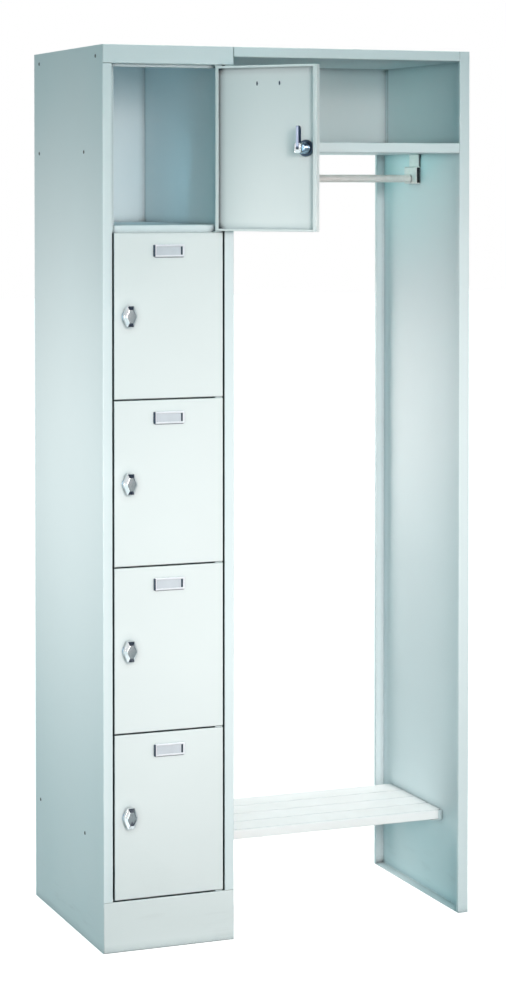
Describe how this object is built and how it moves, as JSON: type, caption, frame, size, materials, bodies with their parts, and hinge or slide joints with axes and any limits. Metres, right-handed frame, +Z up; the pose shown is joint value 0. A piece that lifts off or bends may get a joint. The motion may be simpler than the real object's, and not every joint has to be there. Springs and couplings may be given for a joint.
{
  "type": "mudroom locker unit",
  "caption": "Sheet-steel locker column with stacked turn-lock doors beside an open coat bay with hat shelf, coat rail and slatted shoe bench.",
  "frame": {"origin": "on the floor, at the middle of everything the unit covers with its top door stored open", "axes": "+X to the right as one faces the doors, +Y from the doors to the back, +Z up"},
  "size_m": [0.87, 0.6906, 1.95],
  "materials": {
    "case_paint": "pale cool grey powder coat, fine texture, satin",
    "door_paint": "pale grey powder coat, fine texture, satin",
    "bench_paint": "near-white powder coat, satin",
    "chrome": "bright plated metal with fine handling marks",
    "dark_steel": "dark plated steel, worn at its edges",
    "rail_steel": "bright drawn tube, lightly brushed along its length"
  },
  "bodies": {
    "carcass": {"side_wall_left": "case_paint", "side_wall_right": "case_paint", "back_panel": "case_paint", "top_cap": "case_paint", "plinth": "door_paint", "floor_tray": "case_paint", "shelf_1": "case_paint", "shelf_2": "case_paint", "shelf_3": "case_paint", "shelf_4": "case_paint", "pivot_pin_1": "dark_steel", "pivot_pin_2": "dark_steel", "pivot_pin_3": "dark_steel", "pivot_pin_4": "dark_steel", "pivot_pin_5": "dark_steel", "pivot_pin_6": "dark_steel", "bay_end_panel": "case_paint", "bay_top": "case_paint", "hat_shelf": "case_paint", "hat_back_panel": "case_paint", "coat_rail": "rail_steel", "rail_bracket_left": "rail_steel", "rail_bracket_right": "rail_steel", "bench_bracket_left": "case_paint", "bench_bracket_right": "case_paint", "bench_front_rail": "bench_paint", "bench_slat_1": "bench_paint", "bench_slat_2": "bench_paint", "bench_slat_3": "bench_paint", "bench_slat_4": "bench_paint"},
    "door_1": {"door_1": "door_paint", "card_holder_1": "chrome", "lock_body_1": "chrome", "lock_nut_1": "dark_steel"},
    "bolt_1": {"turn_knob_1": "chrome", "cam_arm_1": "chrome"},
    "door_2": {"door_2": "door_paint", "card_holder_2": "chrome", "lock_body_2": "chrome", "lock_nut_2": "dark_steel"},
    "bolt_2": {"turn_knob_2": "chrome", "cam_arm_2": "chrome"},
    "door_3": {"door_3": "door_paint", "card_holder_3": "chrome", "lock_body_3": "chrome", "lock_nut_3": "dark_steel"},
    "bolt_3": {"turn_knob_3": "chrome", "cam_arm_3": "chrome"},
    "door_4": {"door_4": "door_paint", "card_holder_4": "chrome", "lock_body_4": "chrome", "lock_nut_4": "dark_steel"},
    "bolt_4": {"turn_knob_4": "chrome", "cam_arm_4": "chrome"},
    "door_5": {"door_5": "door_paint", "card_holder_5": "chrome", "lock_body_5": "chrome", "lock_nut_5": "dark_steel"},
    "bolt_5": {"turn_knob_5": "chrome", "cam_arm_5": "chrome"}
  },
  "joints": [
    {"name": "door_1_hinge", "type": "hinge", "parent": "carcass", "child": "door_1", "pos_m": [-0.1665, -0.15049, 1.7288], "axis": [0, 0, 1], "range_deg": [-129, 1]},
    {"name": "bolt_1_turn", "type": "hinge", "parent": "door_1", "child": "bolt_1", "pos_m": [-0.03045, -0.31183, 1.7288], "axis": [0.7771, 0.6293, 0], "range_deg": [0, 90]},
    {"name": "door_2_hinge", "type": "hinge", "parent": "carcass", "child": "door_2", "pos_m": [-0.1665, -0.15049, 1.3694], "axis": [0, 0, 1], "range_deg": [0, 130]},
    {"name": "bolt_2_turn", "type": "hinge", "parent": "door_2", "child": "bolt_2", "pos_m": [-0.3775, -0.15469, 1.3694], "axis": [0, -1, 0], "range_deg": [0, 90]},
    {"name": "door_3_hinge", "type": "hinge", "parent": "carcass", "child": "door_3", "pos_m": [-0.1665, -0.15049, 1.01], "axis": [0, 0, 1], "range_deg": [0, 130]},
    {"name": "bolt_3_turn", "type": "hinge", "parent": "door_3", "child": "bolt_3", "pos_m": [-0.3775, -0.15469, 1.01], "axis": [0, -1, 0], "range_deg": [0, 90]},
    {"name": "door_4_hinge", "type": "hinge", "parent": "carcass", "child": "door_4", "pos_m": [-0.1665, -0.15049, 0.6506], "axis": [0, 0, 1], "range_deg": [0, 130]},
    {"name": "bolt_4_turn", "type": "hinge", "parent": "door_4", "child": "bolt_4", "pos_m": [-0.3775, -0.15469, 0.6506], "axis": [0, -1, 0], "range_deg": [0, 90]},
    {"name": "door_5_hinge", "type": "hinge", "parent": "carcass", "child": "door_5", "pos_m": [-0.1665, -0.15049, 0.2912], "axis": [0, 0, 1], "range_deg": [0, 130]},
    {"name": "bolt_5_turn", "type": "hinge", "parent": "door_5", "child": "bolt_5", "pos_m": [-0.3775, -0.15469, 0.2912], "axis": [0, -1, 0], "range_deg": [0, 90]}
  ]
}
